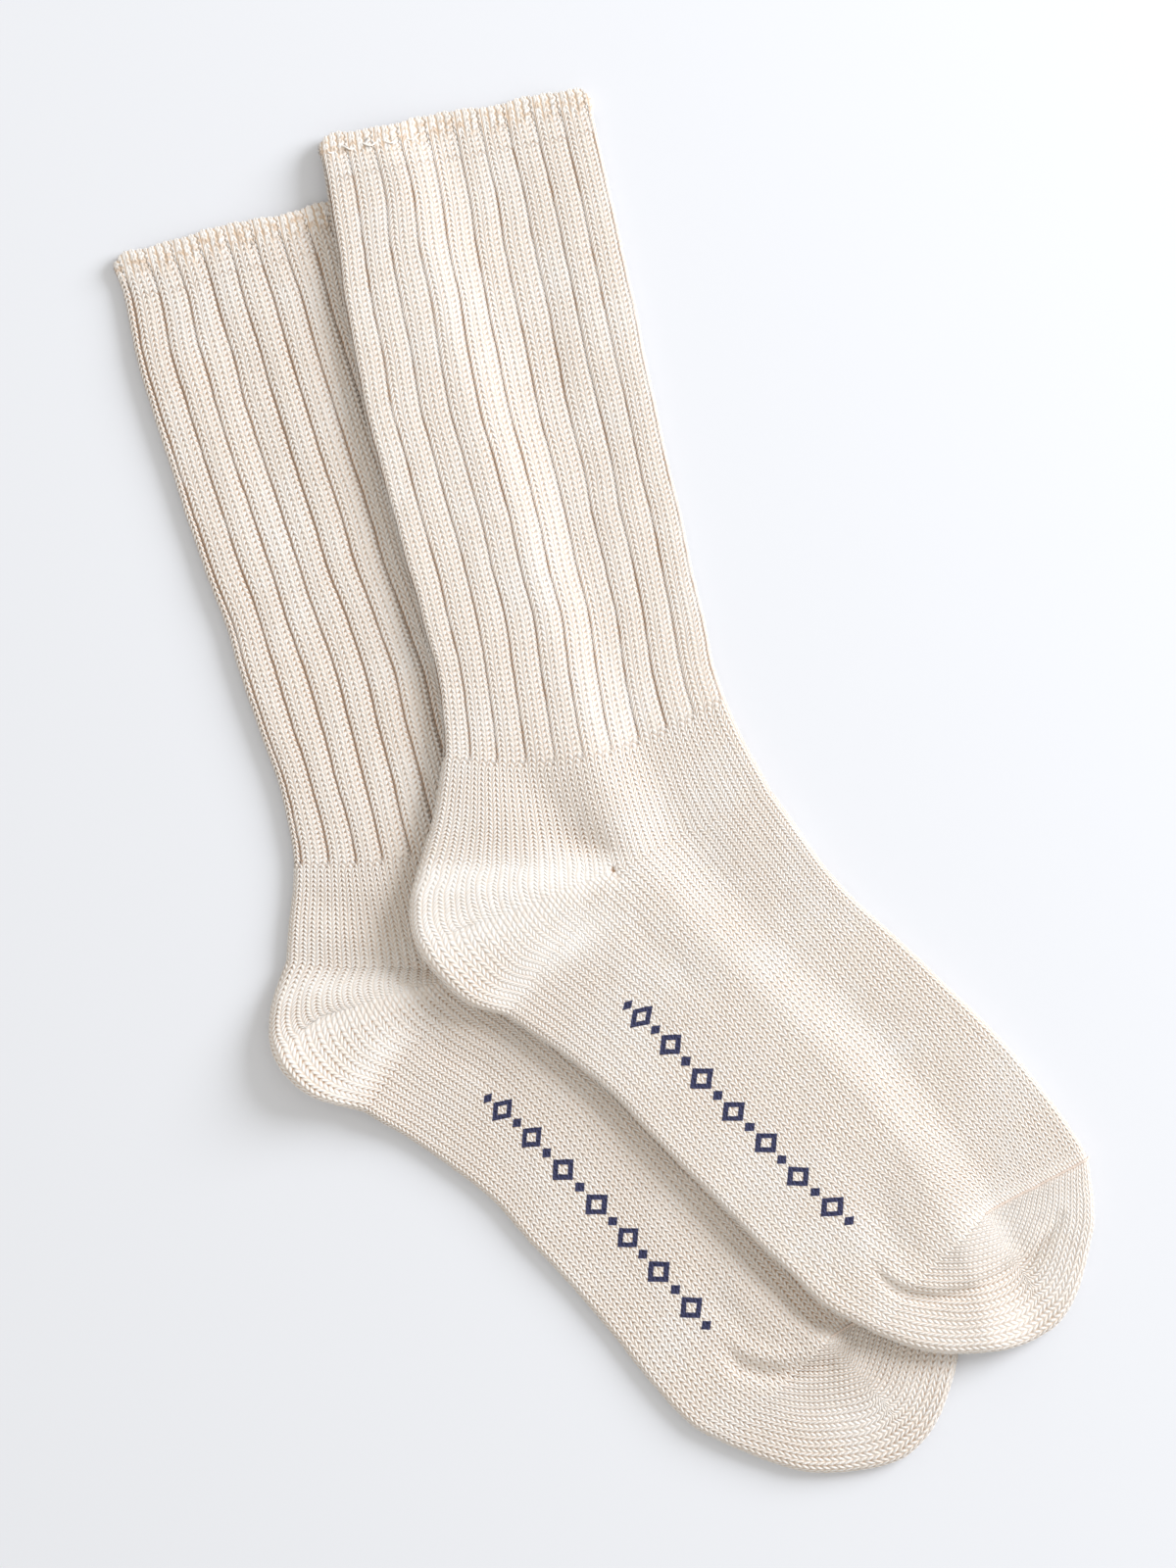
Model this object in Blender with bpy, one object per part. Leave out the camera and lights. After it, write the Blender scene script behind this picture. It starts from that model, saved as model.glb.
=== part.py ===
"""A pair of crew socks, laid flat, one sock lapping over the other.

Each sock is one knitted tube, pressed flat: a cloth wall from the open cuff down the leg, round
the turned heel and along the foot to the closed toe. Both lie sole to the left on a table, the
back sock on the table itself and the front sock partly on top of it.

Units are metres, +Z is up, and the origin is on the table under the middle of the pair.
"""

import bmesh
import bpy
import numpy as np

MM = 0.001

# The cloth
WALL = 2.0 * MM               # thickness of the knit
BACK_THICKNESS = 5.2 * MM     # the back sock pressed flat, two walls and the slit between them
GAP = 0.4 * MM                # clearance between the socks where one lies on the other

# How the front sock comes down off the back one
SHOULDER = 7 * MM             # it stays at full height this far past the back sock's outline
LANDING = 30 * MM             # and lies on the table again this far past it

# How finely the tube is drawn
STEPS_PER_ROW = 3             # rings from one row of a table to the next
FACE_SPANS = 7                # flat spans across each face of the tube
FOLD_SPANS = 4                # spans round each folded edge
TOE_DEPTH = 2                 # rings from the closed toe back to the end of the hollow

# Sections of each sock from cuff to toe, in millimetres. A section is a straight line across the
# flat tube from its instep fold to its heel fold, and `thick` is the height of the sock there.
SECTION = ("name", "instep_x", "instep_y", "heel_x", "heel_y", "thick")
FRONT_SOCK = [
    ("cuff",          -5.5,  223.5,  -91.5,  207.0,  5.2),
    ("upper leg",      5.5,  172.0,  -85.5,  154.0,  5.2),
    ("middle leg",    23.5,   93.0,  -67.5,   73.0,  5.2),
    ("lower leg",     31.0,   51.0,  -55.5,   34.0,  5.4),
    ("end of rib",    37.5,   28.5,  -52.5,    9.5,  5.6),
    ("ankle",         49.0,    6.5,  -54.0,  -12.0,  5.8),
    ("heel top",      57.5,   -7.0,  -61.0,  -33.5,  6.6),
    ("heel",          62.5,  -14.5,  -62.5,  -49.0,  7.0),
    ("under heel",    68.5,  -23.0,  -53.5,  -65.0,  6.8),
    ("heel to sole",  76.0,  -34.0,  -35.0,  -76.5,  6.2),
    ("arch",          89.5,  -47.0,  -10.5,  -88.5,  5.8),
    ("middle foot",  108.5,  -64.5,   23.0, -122.5,  5.6),
    ("ball of foot", 125.0,  -81.5,   53.5, -153.5,  5.6),
    ("toe joint",    143.0,  -98.5,   79.0, -175.5,  5.8),
    ("toes",         154.0, -115.5,  105.0, -183.0,  6.0),
    ("toe cap",      157.5, -129.0,  124.5, -184.5,  6.0),
    ("toe front",    157.5, -140.5,  139.5, -179.0,  5.6),
    ("toe end",      156.5, -150.5,  148.5, -171.0,  4.6),
    ("toe tip",      155.0, -156.5,  152.5, -164.0,  3.4),
]
BACK_SOCK = [
    ("cuff",         -73.0,  189.5, -158.0,  168.0,  5.2),
    ("upper leg",    -66.0,  158.0, -155.0,  152.5,  5.2),
    ("middle leg",   -50.0,  112.0, -143.0,  109.0,  5.2),
    ("lower leg",    -25.5,   41.0, -116.5,   30.0,  5.2),
    ("end of rib",   -13.0,    7.0, -102.0,  -16.0,  5.2),
    ("ankle",         -5.0,  -15.0, -101.0,  -42.0,  5.2),
    ("heel top",       4.0,  -31.0, -105.0,  -67.0,  5.2),
    ("heel",          11.0,  -41.0, -108.5,  -84.0,  5.2),
    ("under heel",    17.0,  -48.5, -100.5,  -98.5,  5.2),
    ("heel to sole",  25.0,  -57.5,  -84.0, -107.0,  5.2),
    ("arch",          37.5,  -70.0,  -59.0, -117.5,  5.2),
    ("middle foot",   59.0,  -92.0,  -18.5, -155.5,  5.2),
    ("ball of foot",  80.0, -113.0,   16.5, -198.0,  5.2),
    ("toe joint",     97.0, -132.0,   45.5, -217.5,  5.2),
    ("toes",         106.5, -151.0,   73.5, -223.0,  5.2),
    ("toe cap",      111.5, -168.5,   92.5, -220.5,  5.2),
    ("toe front",    113.5, -182.0,  102.5, -213.0,  5.0),
    ("toe end",      112.5, -194.0,  108.0, -206.0,  4.4),
    ("toe tip",      111.5, -199.0,  110.0, -203.0,  3.4),
]


def clear_scene():
    for obj in list(bpy.data.objects):
        bpy.data.objects.remove(obj, do_unlink=True)


def cotton(name):
    """Undyed cotton yarn: cream, matt and without metal."""
    material = bpy.data.materials.new(name)
    material.use_nodes = True
    shader = material.node_tree.nodes["Principled BSDF"]
    shader.inputs["Base Color"].default_value = (0.80, 0.71, 0.60, 1.0)
    shader.inputs["Roughness"].default_value = 0.92
    shader.inputs["Metallic"].default_value = 0.0
    return material


def smooth_sections(table):
    """Run one smooth curve down each column, paced by the distance from row to row."""
    rows = np.array([row[1:] for row in table]) * MM
    middles = (rows[:, 0:2] + rows[:, 2:4]) / 2
    pace = np.concatenate([[0.0], np.cumsum(np.linalg.norm(np.diff(middles, axis=0), axis=1))])
    slopes = np.gradient(rows, pace, axis=0)
    sections = []
    for i in range(len(rows) - 1):
        span = pace[i + 1] - pace[i]
        for step in range(STEPS_PER_ROW):
            t = step / STEPS_PER_ROW
            sections.append(
                (2 * t**3 - 3 * t**2 + 1) * rows[i]
                + (t**3 - 2 * t**2 + t) * span * slopes[i]
                + (3 * t**2 - 2 * t**3) * rows[i + 1]
                + (t**3 - t**2) * span * slopes[i + 1]
            )
    sections.append(rows[-1])
    return np.array(sections)


def outline(sections):
    """The sock's edge seen from above: down the instep fold and back up the heel fold."""
    return np.concatenate([sections[:, 0:2], sections[::-1, 2:4]])


def distance_outside(points, edge):
    """Distance from each point to a closed outline, less than zero inside it."""
    start = edge
    run = np.roll(edge, -1, axis=0) - start
    offset = points[:, None, :] - start[None, :, :]
    along = np.clip((offset * run).sum(axis=2) / (run * run).sum(axis=1), 0.0, 1.0)
    reach = np.linalg.norm(offset - along[:, :, None] * run, axis=2).min(axis=1)
    end_y = start[:, 1] + run[:, 1]
    level = points[:, 1:2]
    crosses = (start[:, 1] > level) != (end_y > level)
    rise = np.where(run[:, 1] == 0, 1.0, run[:, 1])
    meets_x = start[:, 0] + (level - start[:, 1]) / rise * run[:, 0]
    inside = (crosses & (points[:, 0:1] < meets_x)).sum(axis=1) % 2 == 1
    return np.where(inside, -reach, reach)


def ring(section, inset):
    """A closed ring round the flat tube: two straight faces joined by half-round folds."""
    instep, heel, thick = section[0:2], section[2:4], section[4]
    width = np.linalg.norm(heel - instep)
    across = (heel - instep) / width
    radius = thick / 2 - inset
    half = width / 2 - thick / 2
    points = []
    for side, first_angle in ((1, np.pi / 2), (-1, 3 * np.pi / 2)):
        for i in range(FACE_SPANS):
            points.append((side * half * (2 * i / FACE_SPANS - 1), side * radius))
        for i in range(FOLD_SPANS):
            angle = first_angle - np.pi * i / FOLD_SPANS
            points.append((side * half + radius * np.cos(angle), radius * np.sin(angle)))
    middle = (instep + heel) / 2
    return np.array([(*(middle + across * x), thick / 2 + z) for x, z in points])


def add_skin(mesh, rings, outward):
    """Join rings of the same count into a skin that is closed at the toe."""
    loops = [[mesh.verts.new(point) for point in points] for points in rings]
    count = len(loops[0])
    for upper, lower in zip(loops, loops[1:]):
        for i in range(count):
            corners = [upper[i], upper[(i + 1) % count], lower[(i + 1) % count], lower[i]]
            mesh.faces.new(corners if outward else corners[::-1])
    mesh.faces.new(loops[-1] if outward else loops[-1][::-1])
    return loops


def make_sock(name, sections, lift, material):
    """A hollow sock, its wall turned in at the cuff, raised by lift(points) off the table."""
    outer = [ring(section, 0.0) for section in sections]
    inner = [ring(section, WALL) for section in sections[:-TOE_DEPTH]]
    for points in outer + inner:
        points[:, 2] += lift(points[:, 0:2])
    mesh = bmesh.new()
    outer_loops = add_skin(mesh, outer, outward=True)
    inner_loops = add_skin(mesh, inner, outward=False)
    count = len(outer_loops[0])
    for i in range(count):
        j = (i + 1) % count
        mesh.faces.new([outer_loops[0][j], outer_loops[0][i], inner_loops[0][i], inner_loops[0][j]])
    bmesh.ops.recalc_face_normals(mesh, faces=mesh.faces)
    data = bpy.data.meshes.new(name)
    mesh.to_mesh(data)
    mesh.free()
    data.materials.append(material)
    data.shade_smooth()
    sock = bpy.data.objects.new(name, data)
    bpy.context.scene.collection.objects.link(sock)
    return sock


def main():
    clear_scene()
    front = smooth_sections(FRONT_SOCK)
    back = smooth_sections(BACK_SOCK)
    back_edge = outline(back)

    def on_table(points):
        return np.zeros(len(points))

    def over_back_sock(points):
        past = distance_outside(points, back_edge)
        fall = np.clip((LANDING - past) / (LANDING - SHOULDER), 0.0, 1.0)
        return (BACK_THICKNESS + GAP) * fall * fall * (3 - 2 * fall)

    make_sock("back_sock", back, on_table, cotton("back_cotton"))
    make_sock("front_sock", front, over_back_sock, cotton("front_cotton"))


main()
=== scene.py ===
import math

import bpy
import numpy as np
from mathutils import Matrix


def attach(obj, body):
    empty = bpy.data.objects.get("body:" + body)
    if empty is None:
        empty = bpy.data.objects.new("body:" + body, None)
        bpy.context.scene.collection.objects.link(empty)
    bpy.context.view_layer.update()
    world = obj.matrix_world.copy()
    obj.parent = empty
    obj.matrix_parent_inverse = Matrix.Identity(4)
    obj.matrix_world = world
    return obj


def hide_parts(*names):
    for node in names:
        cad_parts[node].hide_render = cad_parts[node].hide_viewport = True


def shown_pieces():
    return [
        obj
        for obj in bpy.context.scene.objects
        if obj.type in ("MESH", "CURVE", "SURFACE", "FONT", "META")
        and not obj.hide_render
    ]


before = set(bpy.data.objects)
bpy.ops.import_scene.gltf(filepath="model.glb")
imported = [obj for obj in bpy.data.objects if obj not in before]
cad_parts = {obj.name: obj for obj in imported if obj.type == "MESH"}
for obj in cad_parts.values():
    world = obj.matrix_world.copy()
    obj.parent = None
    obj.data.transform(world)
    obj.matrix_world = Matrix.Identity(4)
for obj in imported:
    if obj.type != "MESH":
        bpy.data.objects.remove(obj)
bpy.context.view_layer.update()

# ---------------------------------------------------------------------------------------------
# Cuffs. The first rows of each sock are a soft, full welt of raw cotton yarn, knitted loose and
# turned in so that the edge can't ravel, and its loops stand up unevenly. Below the front sock's
# welt the white end of its yarn is darned in.
# ---------------------------------------------------------------------------------------------
MM = 0.001
SOCKS = ("back_sock", "front_sock")
NEEDLES = 84                  # wales round the tube, half of them on each face
FACE = NEEDLES // 2           # wales from the instep fold to the heel fold
SIDE = FACE // 2              # the wale halfway between the folds, where the heel is hinged
CUFF_ROWS = 8                 # rows from the top edge that are made as the cuff
WELT_ROWS = 4                 # rows of it that are the round welt
TURNED_ROWS = 5               # rows of the welt that are turned inside
WELT_WALL = 1.7 * MM          # how far the turned-in part lies inside the outer face
WELT_FULLNESS = 0.40 * MM     # how much fuller than the leg the welt is
RIB_END = 118                 # the last ribbed row
HEEL_START = 141              # the last row of the leg, where the heel pocket begins
WALE, ROW = 2.2 * MM, 1.8 * MM    # the knitting's own pitch when it lies relaxed
ARM = 0.9                     # rows that the two arms of a stitch slant over
ROWS_IN_MAP = 100             # rows of knitting along the whole height of the Knit map
TOP_COLUMNS, UNDER_COLUMNS, STEPS = 4, 2, 3   # mesh columns a wale on each face, and lines a row

# The lie of the rings of knitting on each flat sock, in millimetres: where a ring crosses the
# instep fold, the side and the heel or sole fold, how round it is there (1 is two straight
# halves, 2 an even curve), and the height of the sock's two layers.
# row, instep x, instep y, side x, side y, heel x, heel y, roundness, height
LEG = {
    "front_sock": [
        (0, -6.0, 222.5, -49.0, 214.0, -92.0, 206.0, 2.0, 4.2),
        (30, 5.5, 173.5, -39.5, 164.5, -84.5, 155.5, 2.0, 5.2),
        (58, 16.0, 124.5, -29.5, 115.0, -75.0, 105.5, 2.0, 5.2),
        (87, 26.5, 76.0, -16.5, 64.0, -61.0, 57.0, 2.0, 5.3),
        (RIB_END, 38.5, 27.5, -7.0, 8.0, -52.5, 7.5, 1.9, 5.5),
        (129, 46.0, 11.0, -2.5, -11.0, -55.0, -9.5, 1.4, 5.7),
        (HEEL_START, 53.5, -3.5, 3.0, -29.5, -59.0, -24.5, 1.0, 6.2),
    ],
    "back_sock": [
        (0, -72.5, 189.5, -115.5, 179.0, -158.5, 168.0, 2.0, 4.2),
        (20, -63.0, 156.0, -106.5, 145.5, -150.5, 134.5, 2.0, 5.2),
        (54, -43.4, 96.1, -88.0, 86.5, -132.5, 77.5, 2.0, 5.2),
        (84, -26.3, 47.6, -71.0, 36.0, -115.5, 27.4, 2.0, 5.2),
        (RIB_END, -11.0, 0.5, -55.5, -22.0, -100.5, -26.0, 1.9, 5.2),
        (129, -3.5, -15.0, -50.0, -41.0, -101.5, -42.5, 1.4, 5.2),
        (HEEL_START, 4.5, -31.5, -44.0, -62.5, -102.5, -58.5, 1.0, 5.2),
    ],
}


def rings(table):
    """A table of rings with its lengths in metres, row number and roundness as they were."""
    lie = np.array(table, dtype=float)
    lie[:, 1:7] *= MM
    lie[:, 8] *= MM
    return lie


def follow(lie, rows):
    """The columns of a table after its first, read as smooth curves at any row numbers."""
    knots, values = lie[:, 0], lie[:, 1:]
    slopes = np.gradient(values, knots, axis=0)
    i = np.clip(np.searchsorted(knots, rows, side="right") - 1, 0, len(knots) - 2)
    span = (knots[i + 1] - knots[i])[..., None]
    t = ((rows - knots[i]) / span[..., 0])[..., None]
    return (
        (2 * t**3 - 3 * t**2 + 1) * values[i]
        + (t**3 - 2 * t**2 + t) * span * slopes[i]
        + (3 * t**2 - 2 * t**3) * values[i + 1]
        + (t**3 - t**2) * span * slopes[i + 1]
    )


def ease(x, low, high):
    """0 below low, 1 above high, and a smooth rise between them."""
    t = np.clip((x - low) / (high - low), 0.0, 1.0)
    return t * t * (3 - 2 * t)


def round_the_fold(wales, width, radius, depth):
    """Where a wale lies on a flattened tube: its share of the width, its height, and how far
    up the cloth faces there. depth moves it inwards."""
    turn = wales % NEEDLES
    from_instep = np.where(turn <= FACE, turn, NEEDLES - turn) / FACE
    face = np.where(turn <= FACE, 1.0, -1.0)
    length = width - 2 * radius + math.pi * radius
    along = from_instep * length
    first = np.clip(along / radius, 0.0, math.pi / 2)
    last = np.clip((length - along) / radius, 0.0, math.pi / 2)
    sideways = np.cos(last) - np.cos(first)
    upward = np.sin(first) * np.sin(last) * face
    level = np.clip(along - radius * math.pi / 2, 0.0, width - 2 * radius)
    share = (radius + level + (radius - depth) * sideways) / width
    return share, radius + (radius - depth) * upward, upward


def tube(table, wales, rows, depth):
    """Points of a flat tube that lies along a table of rings, at arrays of wales and rows."""
    at = follow(rings(table), rows)
    instep, side, heel = at[..., 0:2], at[..., 2:4], at[..., 4:6]
    roundness, height = at[..., 6], at[..., 7]
    across = heel - instep
    width = np.linalg.norm(across, axis=-1)
    share, z, upward = round_the_fold(wales, width, height / 2, depth)
    pull = 1 - np.abs(np.clip(2 * share - 1, -1, 1)) ** roundness
    sag = side - (instep + heel) / 2
    plan = instep + across * share[..., None] + sag * pull[..., None]
    return np.concatenate([plan, z[..., None]], axis=-1), upward


def ribbed(rows):
    """How strongly the knitting is ribbed: a little less in the welt, and not past the leg."""
    from_welt = 0.72 + 0.28 * ease(rows, WELT_ROWS, WELT_ROWS + 3.0)
    return from_welt * (1 - ease(rows, RIB_END - 1.0, RIB_END + 1.5))


PURL_NARROWING = 0.68         # share of its width that a purl wale loses between two ribs
FIRST_PURL = {"front_sock": 1, "back_sock": 0}   # the first purl wale from the instep fold


def gathered(sock, wales, rows):
    """Wale positions once the rib has drawn in: each fourth wale is purl and hides in a valley."""
    strength = ribbed(rows)
    purl = (1 - PURL_NARROWING * strength) * (1 + 0.55 * strength * np.cos(2 * math.pi * rows))
    place = (wales - FIRST_PURL[sock]) % 4
    knit = purl + (place - 1) * (4 - purl) / 3
    return wales - place + np.where(place < 1, place * purl, knit)


ROW_GAP, ARM_SIDE, EYE = 0.33, 0.13, 0.32   # how deep the parts of a stitch are, in millimetres
STITCHES = {"front_sock": 0.86, "back_sock": 1.08}   # how far each sock's stitches stand up


def stitch_depth(sock, wales, rows):
    """How far below the crests of the yarn a point of plain knitting lies."""
    across, along = wales % 1, rows % 1
    between_rows = 1 - np.sin(math.pi * along)
    beside_arms = np.cos(2 * math.pi * across) ** 2
    to_line = np.minimum(along, 1 - along)
    eye = np.exp(-(((across - 0.5) / 0.18) ** 2)) * np.exp(-((to_line / 0.22) ** 2))
    return (ROW_GAP * between_rows + ARM_SIDE * beside_arms + EYE * eye) * STITCHES[sock] * MM


def lumps(plan, size, seed):
    """Even, smooth unevenness from -1 to 1 that depends only on the place on the table."""
    lattice = np.random.default_rng(seed).uniform(-1, 1, (128, 128))
    at = plan / size + 64
    cell = np.floor(at).astype(int)
    t = at - cell
    t = t * t * (3 - 2 * t)
    i, j = cell[..., 0] % 127, cell[..., 1] % 127
    low = lattice[i, j] * (1 - t[..., 0]) + lattice[i + 1, j] * t[..., 0]
    high = lattice[i, j + 1] * (1 - t[..., 0]) + lattice[i + 1, j + 1] * t[..., 0]
    return low * (1 - t[..., 1]) + high * t[..., 1]


RIB_SIDE, VALLEY, CROWN = 0.18, 0.30, 0.17   # how deep the parts of a rib are, in millimetres
RIBBING = {"front_sock": 0.84, "back_sock": 1.25}   # how deep each sock's valleys are


def rib_depth(sock, wales, rows):
    """How far the rib's rounding and its narrow purl valleys take a point inwards."""
    from_purl = wales - FIRST_PURL[sock]
    place = from_purl % 4
    into_valley = np.clip(np.where(place < 1, np.minimum(place, 1 - place) / 0.5, 0), 0, 1)
    beside = np.exp(-np.minimum(np.abs(place - 1), np.abs(place - 4)) / 0.20)
    valley = np.where(place < 1, RIB_SIDE + VALLEY * into_valley, RIB_SIDE * beside)
    crown = np.where(place < 1, CROWN, CROWN * (np.abs(place - 2.5) / 1.5) ** 2)
    which = np.stack([np.floor((from_purl + 1) / 4) * 7.3, rows / 13.0], axis=-1)
    drawn_in = 0.90 + 0.50 * lumps(which, 1.0, 41)
    beaded = 1 - 0.22 * np.cos(2 * math.pi * rows) * (place < 1)
    return (valley * drawn_in * beaded + crown) * RIBBING[sock] * ribbed(rows) * MM


def valley_shade(sock, wales, rows):
    """Painted shade for the dark gaps in a rib's valley, unevenly spaced, added to its depth to darken its
    colour.
    """
    place = (wales - FIRST_PURL[sock]) % 4
    which = np.stack([np.floor(wales / 4) * 5.1, rows / 3.5], axis=-1)
    return (0.27 + 0.30 * lumps(which, 1.0, 43)) * (place < 1) * ribbed(rows) * MM


# Soft troughs, and ridges as troughs of less than nothing, where the cloth has settled: the half
# width of each, and its points as x, y and depth, all in millimetres.
CREASES = {
    "front_sock": [
        # down the leg
        (11.0, [(-35, 205, 0.3), (-26, 170, 1.3), (-20, 137, 1.7), (-10, 99, 1.4), (-3, 61, 0.2)]),
        (5.0, [(-62, 196, 0.0), (-57, 186, 0.6), (-55, 168, 0.0)]),
        (7.0, [(-60, 130, 0.0), (-52, 100, 0.5), (-46, 66, 0.0)]),
        # the ankle's dip, the ridge beside it and the hollow above the heel
        (8.5, [(-34, 12, 0.3), (-25, -1, 1.5), (-16, -12, 2.3), (-7, -21, 1.9)]),
        (7.0, [(-10, 14, 0.0), (-3, 0, -0.8), (0, -12, -1.0), (1, -24, -0.3)]),
        (4.5, [(-46, -21, 0.2), (-28, -19.5, 0.8), (-13, -19.5, 1.2), (-2, -23, 1.3), (3, -28, 0.4)]),
        (7.0, [(-58, -42, -0.3), (-40, -36, -0.9), (-20, -35, -0.9), (-4, -35, -0.3)]),
        # the instep and the sole
        (13.0, [(6, -10, 0.3), (18, -22, 1.6), (33, -32, 1.5), (48, -40, 0.6), (60, -50, 0.0)]),
        (5.0, [(4, -40, 0.0), (12, -50, 0.7), (24, -62, 0.6), (36, -72, 0.0)]),
        (4.5, [(-4, -46, 0.0), (-14, -54, -0.6), (-24, -61, -0.6), (-31, -68, 0.0)]),
        (9.0, [(62, -52, 0.0), (80, -72, 0.7), (98, -94, 0.6), (112, -112, 0.0)]),
        # the toe's fold, its lip, the swelling over it and the broad hollow between
        (2.0, [(85.5, -154, 0.2), (88.5, -159.5, 0.9), (93, -163.8, 1.5), (99, -166, 1.7),
               (106, -166.7, 1.7), (113, -165.4, 1.7), (119.5, -162.8, 1.6), (126, -159.9, 1.5),
               (132.3, -157, 1.7), (137, -153.8, 1.9), (141.5, -148.2, 1.8), (146, -141, 0.8)]),
        (5.5, [(84, -156, 0.1), (92, -166, 0.7), (106, -168.5, 0.9), (121, -165, 0.9),
               (135, -158, 0.8), (144, -149, 0.2)]),
        (2.2, [(87, -155, 0.0), (92, -160, -0.4), (99, -162.4, -0.7), (106, -163, -0.8),
               (113, -161.6, -0.8), (119, -159, -0.7), (126, -156, -0.7), (132, -152.5, -0.7),
               (136, -148, -0.6), (140, -143, 0.0)]),
        (9.0, [(108, -120, -0.3), (116, -134, -1.1), (122, -144, -0.9)]),
        (6.5, [(86, -126, 0.1), (87, -137, 0.9), (92, -147, 1.2), (99, -153.5, 1.1),
               (109, -156, 0.8), (119, -153, 0.5), (126, -148, 0.1)]),
    ],
    "back_sock": [
        (9.0, [(-126, 160, 0.1), (-118, 130, 1.1), (-108, 100, 1.2), (-98, 70, 0.1)]),
        (7.0, [(-140, 120, 0.0), (-134, 95, 0.6), (-124, 66, 0.0)]),
        # the ankle and the heel
        (5.0, [(-100, -38, 0.1), (-90, -41, 0.9), (-78, -43, 0.9), (-66, -48, 0.8), (-58, -58, 0.9)]),
        (4.5, [(-102, -60, 0.0), (-88, -60, 0.6), (-73, -58, 1.1), (-61, -60, 1.7), (-53, -65, 1.4)]),
        (6.0, [(-106, -76, -0.1), (-90, -71, -0.6), (-74, -69, -0.6), (-64, -70, 0.0)]),
        (4.0, [(-66, -81, 0.0), (-73, -89, -0.6), (-80, -97, -0.5), (-84, -101, 0.0)]),
        (5.0, [(-60, -80, 0.1), (-52, -86, 0.9), (-40, -92, 0.9), (-28, -100, 0.1)]),
        # the sole beside the front sock, and the deep fold under its edge
        (7.0, [(-10, -104, 0.0), (8, -122, 0.5), (28, -142, 0.7), (40, -158, 0.3)]),
        (6.5, [(26, -130, 0.0), (40, -144, 1.2), (51, -155, 2.5), (60, -163, 2.9), (68, -171, 2.2)]),
        # the toe's crumpled fold
        (3.4, [(36, -181, 0.2), (44, -189, 1.8), (52, -191.5, 2.3), (60, -191.3, 2.5),
               (72, -187.5, 2.6), (80, -181, 1.6)]),
        (3.0, [(40, -180, 0.0), (48, -184.5, -0.9), (57, -186, -1.3), (66, -183, -1.4), (73, -179, -0.6)]),
        (2.8, [(56, -160, 0.3), (63, -168, 0.9), (71, -174, 1.7), (79, -175, 2.0)]),
        (2.6, [(60, -176, -0.4), (66, -179, -1.2), (73, -180.5, -0.9)]),
        (5.0, [(28, -156, 0.0), (36, -168, 0.9), (46, -178, 0.9), (56, -181, 0.1)]),
    ],
}
UNDER_CREASES = {
    "front_sock": [
        (6.0, [(-60, 150, 0.0), (-44, 135, 0.9), (-28, 128, 0.0)]),
        (5.0, [(-46, 0, 0.0), (-24, -14, 1.1), (-2, -30, 1.0), (20, -38, 0.0)]),
        (3.0, [(92, -150, 0.0), (104, -160, 1.0), (122, -158, 1.1), (138, -146, 0.0)]),
    ],
    "back_sock": [
        (6.0, [(-138, 96, 0.0), (-116, 84, 0.9), (-92, 82, 0.0)]),
        (5.0, [(-96, -40, 0.0), (-72, -52, 1.1), (-46, -64, 0.9), (-30, -74, 0.0)]),
        (3.0, [(44, -180, 0.0), (58, -192, 1.0), (78, -192, 1.0), (92, -182, 0.0)]),
    ],
}
# Where the cloth is pulled taut over the heel and the toe, its relief flattened and its colour painted
# lighter with less painted shade: half widths and x, y and how much.
TAUT = {
    "front_sock": [
        (5.0, [(-58, -32, 0.9), (-38, -31, 1.0), (-18, -30, 1.0), (-1, -29, 0.7)]),
        (12.0, [(-54, -46, 0.8), (-32, -44, 0.8), (-12, -43, 0.6)]),
        (5.5, [(-2, -46, 0.3), (-14, -54, 0.8), (-24, -61, 0.8), (-32, -69, 0.7)]),
        (12.0, [(116, -148, 0.35), (134, -140, 0.5), (152, -134, 0.5)]),
        (6.0, [(88, -172, 0.2), (112, -178, 0.3), (134, -173, 0.3), (150, -158, 0.2)]),
    ],
    "back_sock": [
        (4.8, [(-104, -69, 0.7), (-88, -66, 0.9), (-72, -65, 0.8), (-62, -67, 0.3)]),
        (10.0, [(-100, -84, 0.65), (-84, -80, 0.6), (-70, -80, 0.4)]),
        (5.0, [(-67, -82, 0.3), (-73, -89, 0.7), (-80, -97, 0.7), (-84, -101, 0.5)]),
        (6.0, [(60, -202, 0.3), (84, -208, 0.4), (98, -196, 0.3)]),
    ],
}
# The little open eyes where a heel's gore ends: half widths and x, y and depth.
EYES = {
    "front_sock": [
        (0.62, [(2.6, -28.9, 1.2), (2.9, -29.6, 1.2)]), (0.5, [(4.3, -31.4, 0.9), (4.6, -31.8, 0.9)]),
        (0.45, [(-1.6, -31.2, 0.6), (-1.4, -31.4, 0.6)]),
    ],
    "back_sock": [(0.6, [(-44.4, -62.2, 1.0), (-44.0, -62.8, 1.0)])],
}
RELAXED = 0.34                # share of its relief that taut cloth keeps
UPPER_LEAST = 1.6 * MM        # the least height of the upper layer, where a trough meets the lower


def near_lines(plan, lines):
    """The sum of soft-edged strips at each point of a plan, each fading away from its line."""
    total = np.zeros(plan.shape[:-1])
    for half_width, line in lines:
        line = np.array(line, dtype=float)
        nearest, value = np.full(plan.shape[:-1], np.inf), np.zeros(plan.shape[:-1])
        for start, end in zip(line[:-1], line[1:]):
            run = (end - start)[:2]
            offset = plan / MM - start[:2]
            t = np.clip(offset @ run / (run @ run), 0.0, 1.0)
            away = np.linalg.norm(offset - t[..., None] * run, axis=-1)
            closer = away < nearest
            value = np.where(closer, start[2] + (end[2] - start[2]) * t, value)
            nearest = np.where(closer, away, nearest)
        total += value * np.exp(-((nearest / half_width) ** 2))
    return total


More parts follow.
